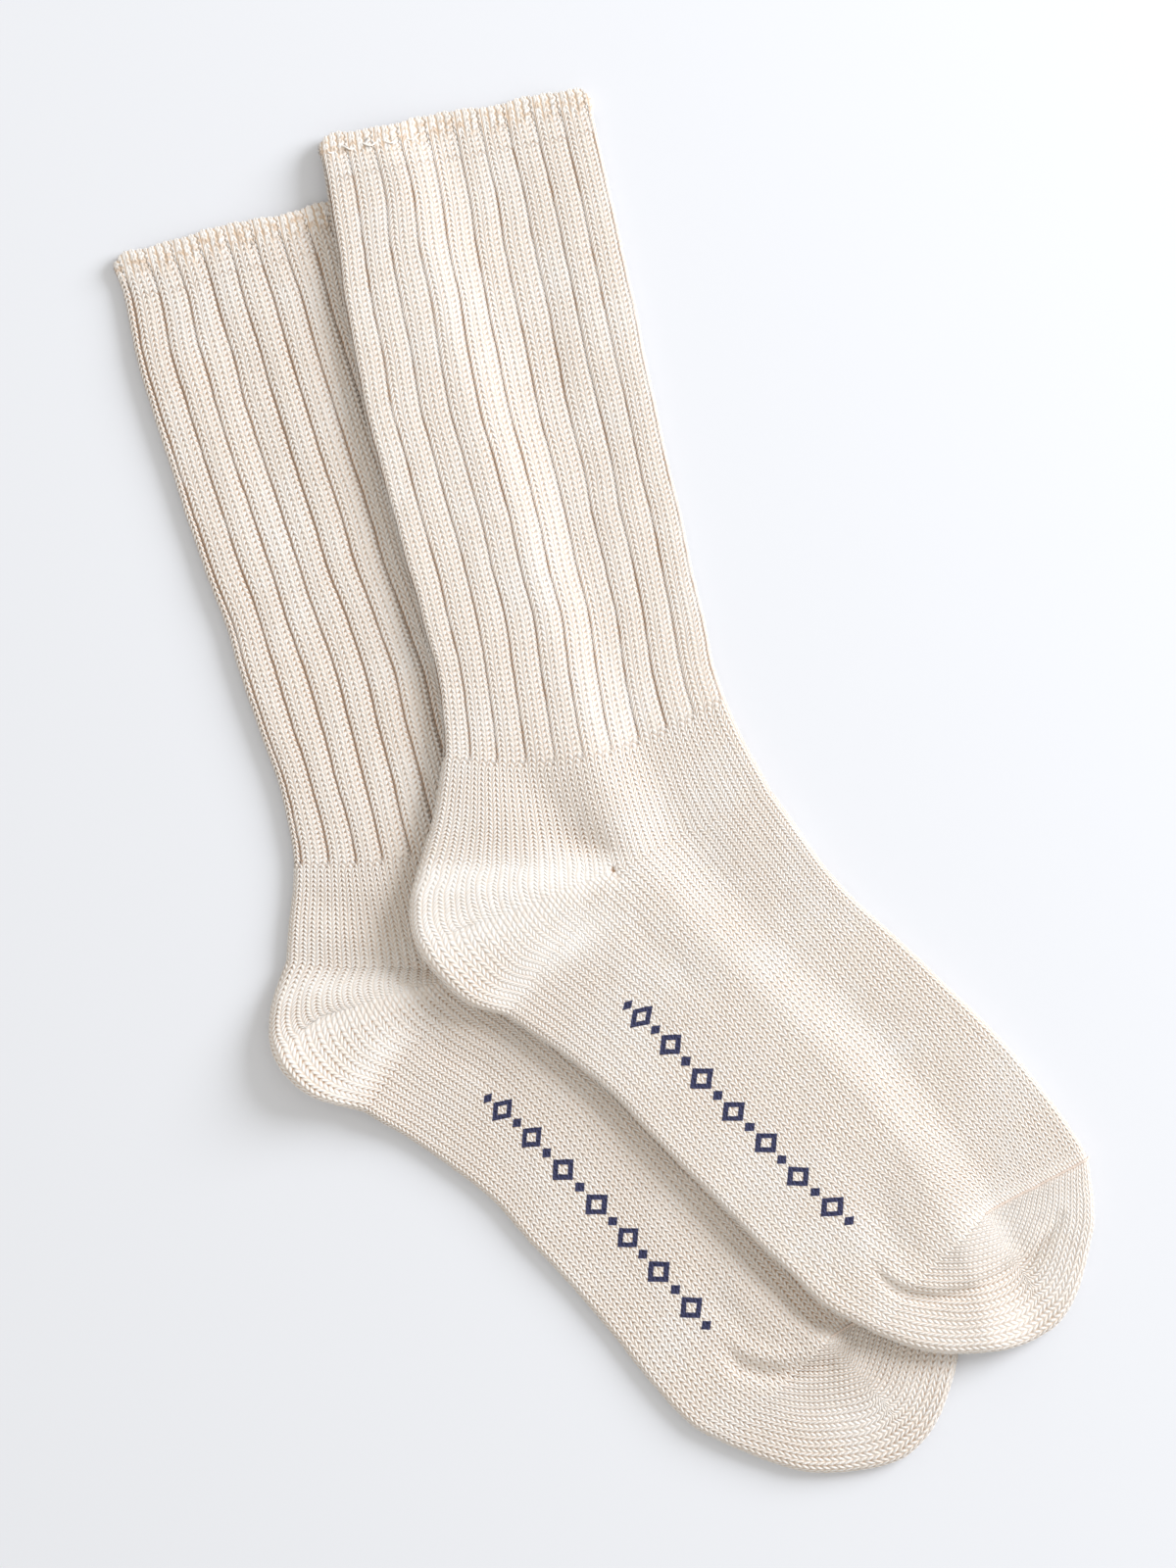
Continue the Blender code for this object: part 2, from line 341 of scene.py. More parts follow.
def settle(points, upward, depth, sock):
    """Moves points of smooth knitting to how the cloth lies: rows that wander a little, a face
    that isn't quite flat, and creases. Gives the amount of painted shade for its colour, from
    the depth of its hollows, the gore's eyes and deep creases, and how taut the cloth is there."""
    plan = points[..., :2].copy()
    for axis, seed in ((0, 11), (1, 12)):
        points[..., axis] += 0.10 * MM * lumps(plan, 2.4 * MM, seed)
        points[..., axis] += 0.62 * MM * lumps(plan, 17 * MM, seed + 10)
    raised, under = np.clip(upward, 0, 1), np.clip(-upward, 0, 1)
    taut = np.clip(near_lines(plan, TAUT[sock]), 0, 1) * raised
    eyes = near_lines(plan, EYES[sock]) * raised
    creases = near_lines(plan, CREASES[sock])
    points[..., 2] += raised * 0.10 * MM * lumps(plan, 3.1 * MM, 31)
    points[..., 2] += raised * 0.30 * MM * (lumps(plan, 23 * MM, 32) - 0.6)
    points[..., 2] -= raised * MM * creases + eyes * MM
    points[..., 2] += under * MM * near_lines(plan, UNDER_CREASES[sock])
    points[..., 2] += depth * taut * (1 - RELAXED)
    points[..., 2] = np.maximum(points[..., 2], UPPER_LEAST * raised)   # flat where it lies
    for axis, seed in ((0, 15), (1, 16)):               # stretched wales waver
        points[..., axis] += 0.40 * MM * taut * lumps(plan, 4.5 * MM, seed)
    # painted shade in deep creases, which darkens the colour there
    fold_shade = 0.22 * np.clip(creases - 1.2, 0, 1.5) * raised
    # the colour's painted shade: depth, the gore's eyes and deep creases
    return depth / MM + eyes + fold_shade, taut


def columns(first, last):
    """Wale numbers of the mesh columns: close together on the upper face, wider underneath."""
    top = np.arange(first, FACE, 1 / TOP_COLUMNS)
    under = np.arange(FACE, last + 0.01, 1 / UNDER_COLUMNS)
    return np.concatenate([top, under])


def lines_between(first, last):
    """Row numbers of the mesh lines from one row to another."""
    return np.linspace(first, last, round((last - first) * STEPS) + 1)


def knit(sock, part, wales, rows, place, stuff):
    """A grid of knitting with a column for each of wales and a line for each of rows. place
    gives points, how far up the cloth faces, and the depth of the fabric's hollows there plus
    any extra painted shade; the material darkens its colour by this as painted shade."""
    bpy.ops.object.select_all(action="DESELECT")
    bpy.ops.mesh.primitive_grid_add(
        x_subdivisions=len(wales) - 1, y_subdivisions=len(rows) - 1, size=1
    )
    piece = bpy.context.active_object
    piece.name = piece.data.name = sock.replace("sock", part)
    mesh = piece.data
    flat = np.empty(len(mesh.vertices) * 3, np.float32)
    mesh.vertices.foreach_get("co", flat)
    across = np.rint((flat[0::3] + 0.5) * (len(wales) - 1)).astype(int)
    down = np.rint((flat[1::3] + 0.5) * (len(rows) - 1)).astype(int)
    points, upward, depth = place(sock, wales[across], rows[down])
    hollow, taut = settle(points, upward, depth, sock)
    mesh.vertices.foreach_set("co", points.astype(np.float32).ravel())
    corner = np.empty(len(mesh.loops), np.int32)
    mesh.loops.foreach_get("vertex_index", corner)
    number = np.stack([wales[across] / NEEDLES, rows[down] / ROWS_IN_MAP], axis=1)
    filled = np.stack([across / (len(wales) - 1), down / (len(rows) - 1)], axis=1)
    mesh.uv_layers[0].name = "Knit"
    mesh.uv_layers.new(name="OFBake")
    for layer, where in (("Knit", number), ("OFBake", filled)):
        mesh.uv_layers[layer].uv.foreach_set("vector", where[corner].astype(np.float32).ravel())
    mesh.uv_layers["Knit"].active_render = True
    for measure, values in (("hollow", hollow), ("taut", taut)):
        mesh.attributes.new(measure, "FLOAT", "POINT")
        mesh.attributes[measure].data.foreach_set("value", values.astype(np.float32))
    bpy.ops.object.mode_set(mode="EDIT")
    bpy.ops.mesh.select_all(action="SELECT")
    bpy.ops.mesh.remove_doubles(threshold=0.02 * MM)
    bpy.ops.mesh.select_all(action="DESELECT")
    bpy.ops.object.mode_set(mode="OBJECT")
    bpy.ops.object.shade_smooth()
    mesh.materials.clear()
    mesh.materials.append(stuff)
    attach(piece, "root")
    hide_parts(sock)
    return piece


def slanted(wales, rows, free=1.0):
    """Row numbers of points on the slanting arms of the stitches, which fall away from the
    middle of each wale. free is 0 where the knitting is held level."""
    return rows + ARM * free * np.abs(2 * (wales % 1) - 1)


class Shade:
    """One output of a shader node, so that a pattern is written as arithmetic."""

    def __init__(self, tree, socket):
        self.tree, self.socket = tree, socket

    def node(self, kind, settings, sockets, out=0):
        made = self.tree.nodes.new(kind)
        for name, value in settings.items():
            setattr(made, name, value)
        for name, value in sockets.items():
            if isinstance(value, Shade):
                self.tree.links.new(value.socket, made.inputs[name])
            else:
                made.inputs[name].default_value = value
        return Shade(self.tree, made.outputs[out])

    def math(self, operation, *values):
        return self.node("ShaderNodeMath", {"operation": operation}, dict(enumerate(values)))

    def __add__(self, other):
        return self.math("ADD", self, other)

    def __sub__(self, other):
        return self.math("SUBTRACT", self, other)

    def __rsub__(self, other):
        return self.math("SUBTRACT", other, self)

    def __mul__(self, other):
        return self.math("MULTIPLY", self, other)

    def __truediv__(self, other):
        return self.math("DIVIDE", self, other)

    __radd__, __rmul__ = __add__, __mul__

    def fract(self):
        return self.math("FRACT", self)

    def abs(self):
        return self.math("ABSOLUTE", self)

    def floor(self):
        return self.math("FLOOR", self)

    def sin(self):
        return self.math("SINE", self)

    def least(self, other):
        return self.math("MINIMUM", self, other)

    def most(self, other):
        return self.math("MAXIMUM", self, other)

    def rise(self, low, high):
        ends = {"From Min": low, "From Max": high}
        return self.node(
            "ShaderNodeMapRange", {"interpolation_type": "SMOOTHSTEP"}, {"Value": self, **ends}
        )

    def blend(self, colour, other):
        """This as a mask: colour where it is 0 and other where it is 1."""
        return self.node(
            "ShaderNodeMix", {"data_type": "RGBA"}, {"Factor": self, 6: colour, 7: other}, out=2
        )


CREAM = (0.928, 0.900, 0.863, 1)      # raw cotton on the crests of the yarn
GAP_SHADE_AND_FLECK = (0.805, 0.678, 0.566, 1)    # painted shade down between the stitches, and the colour of darker flecks in the yarn
PAINTED_SHADE = (0.480, 0.285, 0.155, 1)       # painted shade: a warm brown for the eyes of the stitches, the valleys and deep hollows
PALE_YARN_AND_TAUT_LIGHT = (0.955, 0.938, 0.910, 1)      # paler lengths of yarn, and painted light where the cloth is taut
FLAX = (0.895, 0.825, 0.750, 1)       # and darker ones
WELT_GAP_SHADE = (0.640, 0.440, 0.270, 1)       # painted shade between the loops of the welt


def begin(name):
    """A new material, its surface node, and a start for its patterns."""
    stuff = bpy.data.materials.new(name)
    stuff.use_nodes = True
    return stuff, stuff.node_tree.nodes["Principled BSDF"], Shade(stuff.node_tree, None)


def cotton(name, mark=None, welted=False):
    """Chunky raw cotton knitted plain: two slanting arms to a stitch, spun from soft plies."""
    stuff, surface, start = begin(name)
    tree = stuff.node_tree
    uv = start.node("ShaderNodeUVMap", {"uv_map": "Knit"}, {})
    wale = start.node("ShaderNodeSeparateXYZ", {}, {"Vector": uv}, out=0) * NEEDLES
    row = start.node("ShaderNodeSeparateXYZ", {}, {"Vector": uv}, out=1) * ROWS_IN_MAP
    hollow = start.node("ShaderNodeAttribute", {"attribute_name": "hollow"}, {}, out=2)
    taut = start.node("ShaderNodeAttribute", {"attribute_name": "taut"}, {}, out=2)
    place = start.node("ShaderNodeTexCoord", {}, {}, out=3)
    across, along = wale.fract(), row.fract()
    from_middle = (across - 0.5).abs()
    from_line = along.least(1 - along)
    # the two arms lie each side of the middle, a quarter of a wale from it
    arm = 1 - (from_middle - 0.25).abs() * 4
    crest = (from_line * math.pi).sin() * arm.rise(0.0, 0.75)
    eye = (1 - from_middle.rise(0.02, 0.25)) * (1 - from_line.rise(0.05, 0.38))
    gap = from_middle.rise(0.36, 0.5) * (1 - from_line.rise(0.02, 0.42))
    line = from_middle.rise(0.40, 0.5)
    # plies twist along each arm
    ply = ((from_middle * 5.2 + row * 2.6) * math.pi * 2).sin() * 0.5 + 0.5
    fleck = start.node("ShaderNodeTexNoise", {}, {"Vector": place, "Scale": 900.0, "Detail": 3.0})
    drift = start.node("ShaderNodeTexNoise", {}, {"Vector": place, "Scale": 42.0, "Detail": 3.0})
    fuzz = start.node("ShaderNodeTexNoise", {}, {"Vector": place, "Scale": 2600.0, "Detail": 4.0})
    arm_number = start.node(
        "ShaderNodeCombineXYZ", {}, {"X": (wale * 2).floor(), "Y": row.floor(), "Z": 0.0}
    )
    own = start.node("ShaderNodeTexWhiteNoise", {"noise_dimensions": "3D"}, {"Vector": arm_number})
    # painted shade: the yarn darkens away from the crests, less where the cloth is taut
    colour = crest.rise(0.0, 0.62).most(taut * 0.8).blend(GAP_SHADE_AND_FLECK, CREAM)
    colour = (drift.rise(0.42, 0.72) * 0.45).blend(colour, PALE_YARN_AND_TAUT_LIGHT)
    colour = (own.rise(0.55, 1.0) * crest * 0.45).blend(colour, PALE_YARN_AND_TAUT_LIGHT)
    colour = (1 - own.rise(0.0, 0.40)).blend(colour, FLAX)
    colour = (fleck.rise(0.45, 0.8) * 0.28).blend(colour, GAP_SHADE_AND_FLECK)
    # painted light: the taut heel and toe are paler, standing in for the light they face and the lesser
    # shade of stretched stitches
    colour = (taut * 0.33).blend(colour, PALE_YARN_AND_TAUT_LIGHT)
    # painted shade along the wale lines of stretched cloth
    colour = (line * taut * 0.75).blend(colour, GAP_SHADE_AND_FLECK)
    # painted shade in the eyes and gaps of the stitches, less where taut, and by depth in the valleys,
    # pits and deep folds
    deep = 0.24 + 0.50 * hollow.rise(0.30, 0.85) - 0.5 * taut
    colour = (eye.most(gap * 0.6) * deep.most(0.06)).blend(colour, PAINTED_SHADE)
    colour = (hollow.rise(0.56, 0.98) * (0.90 - 0.7 * from_line)).blend(colour, PAINTED_SHADE)
    height = crest * 0.8 + ply * crest * 0.18 + fuzz * 0.22 + fleck * 0.14 - eye * 0.5
    height = height * (1 - 0.45 * taut)
    if welted:  # the welt's yarn stands in loose ropes, one to a wale, with painted shade in the gaps between them and in patches among the tufts
        tuft = start.node("ShaderNodeTexNoise", {}, {"Vector": place, "Scale": 430.0, "Detail": 3.0})
        loose = 1 - (row + tuft * 3.0).rise(WELT_ROWS + 0.2, WELT_ROWS + 3.0)
        rope = from_middle.rise(0.28, 0.48).blend(CREAM, WELT_GAP_SHADE)
        rope = (tuft.rise(0.46, 0.62) * row.rise(0.0, 1.2) * 0.80).blend(rope, WELT_GAP_SHADE)
        colour = (loose * 0.72).blend(colour, rope)
        height = height * (1 - 0.4 * loose) + loose * tuft * 1.4
    if mark:
        colour = mark(wale, row, start, colour)
    tree.links.new(colour.socket, surface.inputs["Base Color"])
    bump = start.node("ShaderNodeBump", {}, {"Strength": 0.85, "Distance": 0.0004, "Height": height})
    tree.links.new(bump.socket, surface.inputs["Normal"])
    surface.inputs["Roughness"].default_value = 0.9
    surface.inputs["Sheen Weight"].default_value = 0.18
    surface.inputs["Sheen Roughness"].default_value = 0.5
    surface.inputs["Specular IOR Level"].default_value = 0.25
    return stuff


def yarn(sock, part, table, wales, rows, proud, radius, stuff):
    """A yarn laid over the knitting through places on a flat tube, proud of its crests."""
    points, upward = tube(table, wales, rows, -proud)
    settle(points, upward, np.zeros_like(upward), sock)
    points[:, 2] = np.maximum(points[:, 2], radius)
    bpy.ops.object.select_all(action="DESELECT")
    bpy.ops.curve.primitive_nurbs_path_add()
    thread = bpy.context.active_object
    thread.name = sock.replace("sock", part)
    line = thread.data
    line.splines.clear()
    line.splines.new("POLY")
    line.splines[0].points.add(len(points) - 1)
    line.splines[0].points.foreach_set("co", np.insert(points, 3, 1.0, axis=1).ravel())
    for end in (0, -1):                 # it thins where it goes down into the knitting
        line.splines[0].points[end].radius = 0.35
    line.bevel_depth = radius
    line.bevel_resolution = 2
    line.use_fill_caps = True
    bpy.ops.object.convert(target="MESH")
    bpy.ops.object.shade_smooth()
    thread.data.name = thread.name
    thread.data.materials.append(stuff)
    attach(thread, "root")
    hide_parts(sock)
    return thread


def spun(name, colour, darker):
    """Loose yarn, mottled by the plies that it is spun from."""
    stuff, surface, start = begin(name)
    tree = stuff.node_tree
    place = start.node("ShaderNodeTexCoord", {}, {}, out=3)
    plies = start.node("ShaderNodeTexNoise", {}, {"Vector": place, "Scale": 1500.0, "Detail": 3.0})
    tree.links.new(plies.rise(0.35, 0.7).blend(darker, colour).socket, surface.inputs["Base Color"])
    bump = start.node("ShaderNodeBump", {}, {"Strength": 0.6, "Distance": 0.0003, "Height": plies})
    tree.links.new(bump.socket, surface.inputs["Normal"])
    surface.inputs["Roughness"].default_value = 0.9
    return stuff


ribbed_cotton = cotton("ribbed_cotton", welted=True)
white_yarn = spun("white_yarn", (0.960, 0.945, 0.915, 1), (0.850, 0.800, 0.740, 1))


def relief(sock, wales, rows):
    """Depth of the fabric below the tube that wraps it, in the leg and the ankle."""
    return stitch_depth(sock, wales, rows) * (1 - 0.10 * ribbed(rows)) + rib_depth(sock, wales, rows)


def leg_place(sock, wales, rows):
    """A point of the leg, at its wale and the row number of its yarn."""
    depth = relief(sock, wales, rows)
    points, upward = tube(LEG[sock], gathered(sock, wales, rows), slanted(wales, rows), depth)
    # the valleys' colour gets painted shade on top of their depth
    return points, upward, depth + valley_shade(sock, wales, rows)


def from_fold(wales):
    """Wale numbers counted from the instep fold on either face."""
    return np.where(wales <= FACE, wales, NEEDLES - wales)


def welt_place(sock, wales, lines):
    """The welt: lines below 0 are turned inside, and the rest run down the outer face."""
    turned = -lines
    round_edge = np.clip(turned, 0, 2) / 2
    inside = ease(turned, 0.0, 2.0)
    rows = np.where(lines >= 0, lines, np.clip(turned - 2, 0, None))
    looseness = np.exp(-rows / 3.0)
    plan = np.stack([wales * 2.3 * MM, rows * 1.8 * MM], axis=-1)
    rise = 0.7 * lumps(plan * (1, 0), 3.3 * MM, 51) + 0.5 * lumps(plan * (1, 0), 9 * MM, 52)
    edge = 0.55 * np.sin(math.pi * round_edge) + 0.45 * rise * looseness
    # the under layer keeps a little below the upper one's edge
    shy = np.clip(1 - ((wales - 3 * SIDE) / (0.9 * SIDE)) ** 6, 0, 1) * looseness
    rope = np.abs(np.sin(math.pi * wales)) ** 0.7
    tufts = 0.5 * lumps(plan, 2.2 * MM, 53) + 0.8 * lumps(plan, 4.2 * MM, 54)
    full = WELT_FULLNESS * (0.20 + 1.00 * rope + 0.40 * tufts)
    loose = 1 - ease(rows + 0.6 * tufts, WELT_ROWS - 1.8, WELT_ROWS + 1.8)
    nip = 0.10 * MM * np.exp(-(((rows - WELT_ROWS - 0.6) / 0.9) ** 2))
    depth = relief(sock, wales, rows) * (1 - 0.80 * loose) * (1 - 0.35 * inside)
    depth = depth + (nip - full * loose) * (1 - inside)
    turn_in = WELT_WALL * (1 - np.cos(math.pi * inside)) / 2
    # the corners of the edge are rounded off, and its loops stand nearly level
    from_corner = np.minimum(from_fold(wales), FACE - from_fold(wales))
    rounded = 1.9 * np.exp(-((from_corner / 1.5) ** 2)) * np.exp(-rows / 2.5)
    at_rows = slanted(wales, rows, 0.4 + 0.6 * ease(rows, 0.0, 2.0)) - edge + 0.9 * shy + rounded
    points, upward = tube(LEG[sock], gathered(sock, wales, rows), at_rows, depth + turn_in)
    return points, upward, depth


for sock in SOCKS:
    lines = np.concatenate([
        np.arange(-2 - TURNED_ROWS, -2, 0.5),
        np.arange(-2, 0, 1 / 3),
        lines_between(0, CUFF_ROWS),
    ])
    cuff = knit(sock, "cuff", columns(0, NEEDLES), lines, welt_place, ribbed_cotton)
    if sock == "front_sock":  # the end of its welt's white yarn is darned in and out below it
        wales = np.linspace(26.5, 40.2, 110)
        proud = (0.15 + 0.45 * np.sin(wales * 1.9)) * MM
        rows = 3.1 + 0.5 * np.sin(wales * 2.1)
        yarn(sock, "cuff_end", LEG[sock], wales, rows, proud, 0.30 * MM, white_yarn)

# ---------------------------------------------------------------------------------------------
# Legs. Tubes of the same cotton in a rib of three knit wales to one purl. The purl wales draw in
# and hide, so the leg shows about ten rounded ribs on each face, with thin valleys between them.
# ---------------------------------------------------------------------------------------------
for sock in SOCKS:
    leg = knit(
        sock, "leg", columns(0, NEEDLES), lines_between(CUFF_ROWS, RIB_END), leg_place, ribbed_cotton
    )

# ---------------------------------------------------------------------------------------------
# Feet and toe pockets. 93 plain rows lead on from the heel, with a row of navy shapes knitted in
# along the sole. The toe is a pocket knitted to and fro on half the wales, joined at slanting
# gores, folded over the end of the foot and linked to the instep with a thicker, darker yarn.
# ---------------------------------------------------------------------------------------------
TOE_START = 234               # the last row of the foot
TOE_ROWS, TOE_GORE_WALES = 52, 15     # rows of a pocket, and wales that its gore takes in on a side
HEEL_ROWS, HEEL_GORE_WALES = 36, 16
FOOT = {
    "front_sock": [
        (HEEL_START, 53.5, -3.5, 3.0, -29.5, -32.5, -76.0, 1.0, 6.2),
        (170, 77.0, -35.0, 35.5, -62.5, -0.7, -98.9, 1.6, 5.8),
        (193, 106.0, -62.0, 66.0, -93.3, 27.0, -126.5, 2.0, 5.4),
        (214, 133.5, -89.5, 93.8, -120.0, 54.4, -154.3, 1.7, 5.4),
        (226, 147.6, -108.6, 110.0, -131.3, 73.0, -170.5, 1.4, 5.6),
        (TOE_START, 155.5, -122.0, 121.5, -140.0, 86.0, -177.6, 1.0, 5.8),
    ],
    "back_sock": [
        (HEEL_START, 4.5, -31.5, -44.0, -62.5, -77.5, -107.0, 1.0, 5.2),
        (170, 31.0, -63.5, -9.5, -92.0, -44.0, -129.2, 1.6, 4.8),
        (193, 62.0, -92.5, 22.0, -123.8, -17.0, -157.0, 2.0, 4.6),
        (214, 87.5, -122.0, 48.5, -153.0, 9.5, -187.4, 1.7, 4.7),
        (226, 101.3, -144.2, 62.5, -168.0, 26.5, -207.0, 1.4, 4.9),
        (TOE_START, 109.0, -160.0, 72.5, -179.0, 39.5, -214.6, 1.0, 5.2),
    ],
}
# The end of the gore, and the fold from the sole round to the instep: row, x, y, height.
TOE = {
    "front_sock": {"gore": (135.5, -160.5), "fold": [
        (0, 86.0, -177.6, 5.8), (5, 97.5, -181.8, 5.8), (13, 116.5, -184.5, 5.8),
        (26, 145.5, -175.5, 5.8), (39, 157.0, -147.0, 5.8), (TOE_ROWS, 155.5, -122.0, 5.8),
    ]},
    "back_sock": {"gore": (90.5, -201.5), "fold": [
        (0, 39.5, -214.6, 5.2), (5, 50.5, -219.5, 5.2), (13, 69.0, -223.0, 5.2),
        (26, 99.0, -217.0, 5.2), (39, 114.0, -186.5, 5.2), (TOE_ROWS, 109.0, -160.0, 5.2),
    ]},
}
NAVY = (0.021, 0.028, 0.100, 1)
MARK_WALE = 31.7              # the wale that the row of shapes is centred on
MARK_START, MARK_END = 162, 217.3     # the rows that it starts and ends at
MARK_PITCH = 7.9              # rows from one open lozenge to the next
OPEN_REACH, SMALL_REACH = 4.3, 1.9    # from the middle of a lozenge to its points, in millimetres


def navy_row(wale, row, start, colour):
    """Open lozenges with small solid ones between them, in navy yarn."""
    level = row + ((wale.fract() - 0.5).abs() * 2) * ARM
    sideways = (wale - MARK_WALE).abs() * (WALE / MM)
    step = (level - MARK_START) / MARK_PITCH
    pitch = MARK_PITCH * ROW / MM
    lengthways = (step.fract() - 0.5).abs() * pitch
    reach = sideways / OPEN_REACH + lengthways / OPEN_REACH
    ring = (1 - reach.rise(0.95, 1.03)) * reach.rise(0.42, 0.50)
    small = sideways / SMALL_REACH + (pitch / 2 - lengthways) / SMALL_REACH
    inside = level.rise(MARK_START - 1.5, MARK_START - 1.4)
    inside = inside * (1 - level.rise(MARK_END + 1.4, MARK_END + 1.5))
    upper = 1 - wale.rise(FACE - 2, FACE - 1.9)
    shape = ring.most(1 - small.rise(0.9, 1.08))
    return (shape * inside * upper * 0.97).blend(colour, NAVY)


plain_cotton = cotton("plain_cotton")
marked_cotton = cotton("marked_cotton", mark=navy_row)
linking_yarn = spun("linking_yarn", (0.870, 0.765, 0.685, 1), (0.760, 0.620, 0.525, 1))


def knitted_before_gore(wales, total, gore_wales):
    """How many rows of a pocket each wale has before its gore: none at the hinge, then more."""
    return (from_fold(wales) - SIDE) * total / 2 / gore_wales


ROW_BOW = 3.0 * MM            # how far a pocket's rows bow away from its gore


def fold_of(shape):
    """The table of a pocket's fold with its lengths in metres."""
    return np.array(shape["fold"]) * (1, MM, MM, MM)


def pocket(side, shape, ends, total, gore_wales, wales, rows, depth):
    """Points of a pocket knitted to and fro between a sock's side point and its fold."""
    half = total / 2
    fold = follow(fold_of(shape), rows)
    progress = np.clip(np.where(rows <= half, rows, total - rows) / half, 0, 1)
    gore_end = np.array(shape["gore"]) * MM
    hinge = side + (gore_end - side) * progress[..., None]
    first_wale = SIDE + gore_wales * progress
    evenly = np.clip((from_fold(wales) - first_wale) / (FACE - first_wale), 0, 1)
    run = fold[..., 0:2] - hinge
    chord = ends[0] + (ends[1] - ends[0]) * rows / total
    width = 2 * np.linalg.norm(run, axis=-1) * chord
    around = SIDE + SIDE * evenly
    around = np.where(wales <= FACE, around, NEEDLES - around)
    share, z, upward = round_the_fold(around, width, fold[..., 2] / 2, depth)
    out = 2 * share - 1
    bow = ROW_BOW * np.sin(math.pi * progress) * np.where(rows <= half, -4, 4) * out * (1 - out)
    onward = np.stack([-run[..., 1], run[..., 0]], axis=-1)
    onward /= np.linalg.norm(run, axis=-1)[..., None]
    plan = hinge + run * out[..., None] + onward * bow[..., None]
    return np.concatenate([plan, z[..., None]], axis=-1), upward


def held_depth(wales, depth, free):
    """The depth of knitting that turns into the joined stitches of a gore as free falls to 0."""
    joined = (0.16 + 0.10 * np.cos(2 * math.pi * wales)) * MM
    return joined + (depth - joined) * free


def chord_share(ring, half):
    """The straight chord across a bent ring, as a share of twice its instep or heel half."""
    instep, side, heel = (np.array(ring[i:i + 2]) for i in (1, 3, 5))
    return np.linalg.norm(heel - instep) / (2 * np.linalg.norm((instep, heel)[half] - side))


def toe_pocket(sock, wales, rows, depth):
    ring = FOOT[sock][-1]
    side = np.array(ring[3:5]) * MM
    ends = chord_share(ring, 1), chord_share(ring, 0)
    return pocket(side, TOE[sock], ends, TOE_ROWS, TOE_GORE_WALES, wales, rows, depth)


HELD_ROWS = 3.0               # rows beside a gore or a seam over which the stitches turn level


def in_pocket(wales, rows, total, gore_wales):
    """Row numbers kept from crossing a pocket's gore, and how many rows off it is."""
    half = total / 2
    reach = np.maximum(knitted_before_gore(wales, total, gore_wales), 0.0)
    held = np.where(rows <= half, np.minimum(rows, reach), np.maximum(rows, total - reach))
    return held, reach - np.where(rows <= half, rows, total - rows)


def free_of_gore(wales, from_start, total, gore_wales, on_instep):
    """0 where a pocket's first or last row is held at the hinge, rising to 1 away from it."""
    reach = knitted_before_gore(wales, total, gore_wales)
    reach = np.where(from_fold(wales) < SIDE, on_instep, reach)
    return np.clip(np.maximum(np.abs(from_start), reach) / HELD_ROWS, 0, 1)


SEAM_SINK = 0.45 * MM         # how deep the linked seam at the toe lies


def sunk(to_seam):
    """How far the knitting goes down to the seam, some rows off it."""
    return SEAM_SINK * (1 - ease(to_seam, 0.0, 1.4))


def foot_place(sock, wales, rows):
    """A point of the foot, whose last row goes on into the toe pocket under the sole."""
    heel_end = free_of_gore(wales, rows - HEEL_START, HEEL_ROWS, HEEL_GORE_WALES, HELD_ROWS)
    toe_end = free_of_gore(wales, rows - TOE_START, TOE_ROWS, TOE_GORE_WALES, 0.0)
    free = np.minimum(heel_end, toe_end)
    depth = held_depth(wales, stitch_depth(sock, wales, rows), free)
    depth = depth + np.where(from_fold(wales) < SIDE, sunk(TOE_START - rows), 0.0)
    at_rows = slanted(wales, rows, free)
    points, upward = tube(FOOT[sock], wales, np.minimum(at_rows, TOE_START), depth)
    beyond = (at_rows > TOE_START) & (from_fold(wales) > SIDE)
    further, upward_there = toe_pocket(sock, wales, np.maximum(at_rows - TOE_START, 0), depth)
    points = np.where(beyond[..., None], further, points)
    return points, np.where(beyond, upward_there, upward), depth


def toe_place(sock, wales, rows):
    """A point of the toe pocket, held level at its gores and at the seam that closes it."""
    held, to_gore = in_pocket(wales, rows, TOE_ROWS, TOE_GORE_WALES)
    free = np.clip(np.minimum(to_gore, TOE_ROWS - rows) / HELD_ROWS, 0, 1)
    depth = held_depth(wales, stitch_depth(sock, wales, rows), free) + sunk(TOE_ROWS - held)
    at_rows = np.minimum(slanted(wales, held, free), TOE_ROWS)
    points, upward = toe_pocket(sock, wales, at_rows, depth)
    return points, upward, depth


for sock in SOCKS:
    foot = knit(
        sock, "foot", columns(0, NEEDLES), lines_between(HEEL_START, TOE_START), foot_place,
        marked_cotton,
    )
    toe = knit(
        sock, "toe", columns(SIDE, NEEDLES - SIDE), lines_between(0, TOE_ROWS), toe_place,
        plain_cotton,
    )
    wales = np.linspace(-SIDE, SIDE, 6 * SIDE + 1)
    proud = (0.14 * np.cos(2 * math.pi * wales) - 0.16) * MM
    seam = yarn(
        sock, "toe_seam", FOOT[sock], wales, np.full_like(wales, TOE_START), proud, 0.36 * MM,
        linking_yarn,
    )

